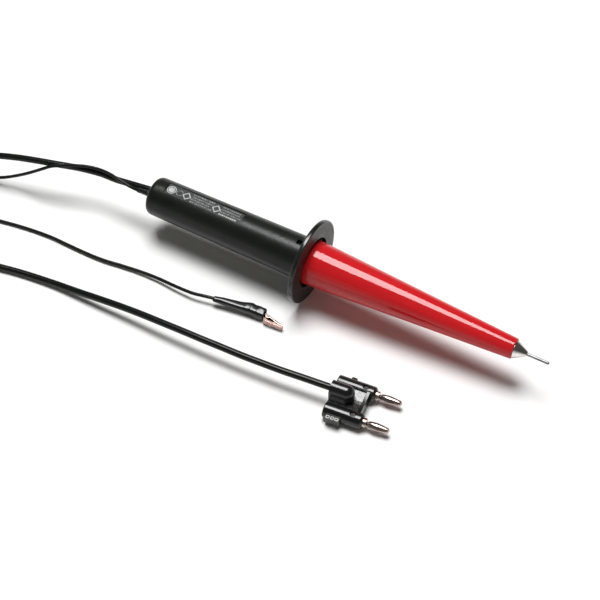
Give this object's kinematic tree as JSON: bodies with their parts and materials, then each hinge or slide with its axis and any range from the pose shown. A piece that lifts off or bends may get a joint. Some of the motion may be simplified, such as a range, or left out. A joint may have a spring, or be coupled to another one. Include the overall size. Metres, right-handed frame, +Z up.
{
  "type": "high-voltage test probe",
  "caption": "Hand-held high-voltage divider probe for a meter, with finger guard, tapered nose, coaxial lead with dual banana plug, and ground lead with alligator clip.",
  "frame": {"origin": "on the surface that the finger guard's rim rests on, below the middle of the probe's length; the leads aren't counted", "axes": "+X along the probe's axis towards the tip, +Z up, the label recess facing up"},
  "size_m": [0.4447, 0.1162, 0.05],
  "materials": {
    "black_plastic": "moulded black plastic, fine matt texture, faint sheen",
    "black_gloss": "smooth black plastic",
    "black_pvc": "soft black PVC, half gloss",
    "red_plastic": "polished red plastic",
    "nickel": "bright nickel plate",
    "steel": "plain bright steel",
    "brass": "machined brass",
    "ceramic": "blue lacquered ceramic",
    "board": "green circuit board",
    "white_plastic": "off-white moulded nylon",
    "capacitor_coat": "orange-brown dipped coating"
  },
  "bodies": {
    "probe": {"handle_shell": "black_plastic", "finger_guard": "black_plastic", "nose_lock_ring": "black_plastic", "cable_anchor": "black_plastic", "label_plate": "black_gloss", "coax_lead_out": "black_pvc", "coax_coil": "black_pvc", "coax_coil_tie": "black_pvc", "coax_lead_return": "black_pvc", "ground_sleeve": "black_pvc", "ground_lead_out": "black_pvc", "ground_coil": "black_pvc", "ground_coil_tie": "black_pvc", "ground_lead_return": "black_pvc", "plug_body": "black_pvc", "clip_boot": "black_pvc", "nose_barrel": "red_plastic", "tip_cone": "nickel", "banana_pin_1": "nickel", "banana_pin_2": "nickel", "banana_spring_1": "nickel", "banana_spring_2": "nickel", "clip_fixed_jaw": "nickel", "tip_rod": "steel", "shield_tube": "steel", "ground_screw": "steel", "front_contact_spring": "steel", "rear_contact_spring": "steel", "set_screw_1": "steel", "set_screw_2": "steel", "clip_pivot_pin": "steel", "clip_spring": "steel", "resistor_cap_front": "brass", "resistor_cap_rear": "brass", "contact_stud": "brass", "ground_terminal": "brass", "hv_resistor": "ceramic", "low_side_resistor": "ceramic", "feedback_resistor": "ceramic", "divider_board": "board", "front_board_holder": "white_plastic", "rear_board_holder": "white_plastic", "nose_spacer_front": "white_plastic", "nose_spacer_rear": "white_plastic", "trimmer_body": "white_plastic", "bypass_capacitor": "capacitor_coat"},
    "clip_jaw": {"clip_moving_jaw": "nickel"},
    "trimmer": {"trimmer_rotor": "brass"}
  },
  "joints": [
    {"name": "clip_hinge", "type": "hinge", "parent": "probe", "child": "clip_jaw", "pos_m": [-0.03625, -0.03132, 0.00327], "axis": [0.0659, 0.0069, 0.9978], "range_deg": [0, 20], "stiffness_Nm_per_rad": 0.02, "springref_deg": -34.38},
    {"name": "trimmer_turn", "type": "hinge", "parent": "probe", "child": "trimmer", "pos_m": [-0.066, 0, 0.0244], "axis": [0, 0, 1], "range_deg": [-135, 135]}
  ]
}
